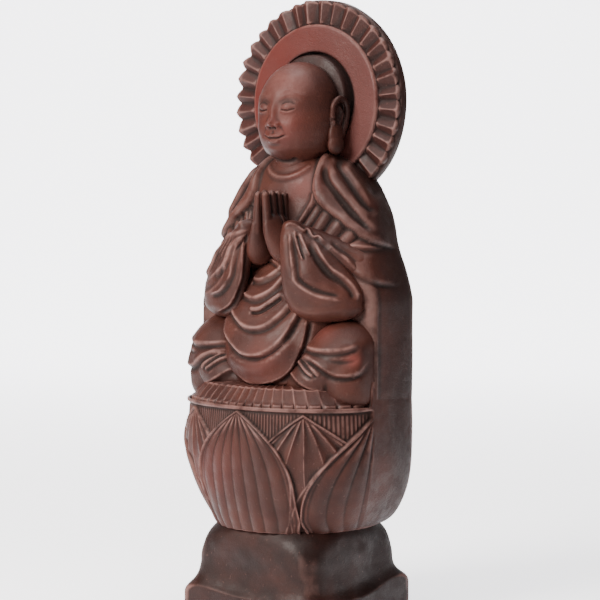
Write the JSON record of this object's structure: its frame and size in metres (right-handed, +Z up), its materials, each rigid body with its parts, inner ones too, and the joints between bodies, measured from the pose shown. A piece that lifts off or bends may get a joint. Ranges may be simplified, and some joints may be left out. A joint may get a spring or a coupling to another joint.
{
  "type": "jizo statue",
  "caption": "Small stoneware figure sitting in prayer on a lotus seat over a flaring square base, with a round fluted halo behind its shaven head.",
  "frame": {"origin": "centre of the base's underside", "axes": "+Z up, the figure faces -Y, +X is on the figure's left"},
  "size_m": [0.11, 0.0881, 0.3002],
  "materials": {
    "stoneware": "unglazed iron-brown stoneware, matt to satin, pale on rubbed arrises"
  },
  "bodies": {
    "root": {"jizo_statue": "stoneware"}
  },
  "joints": []
}
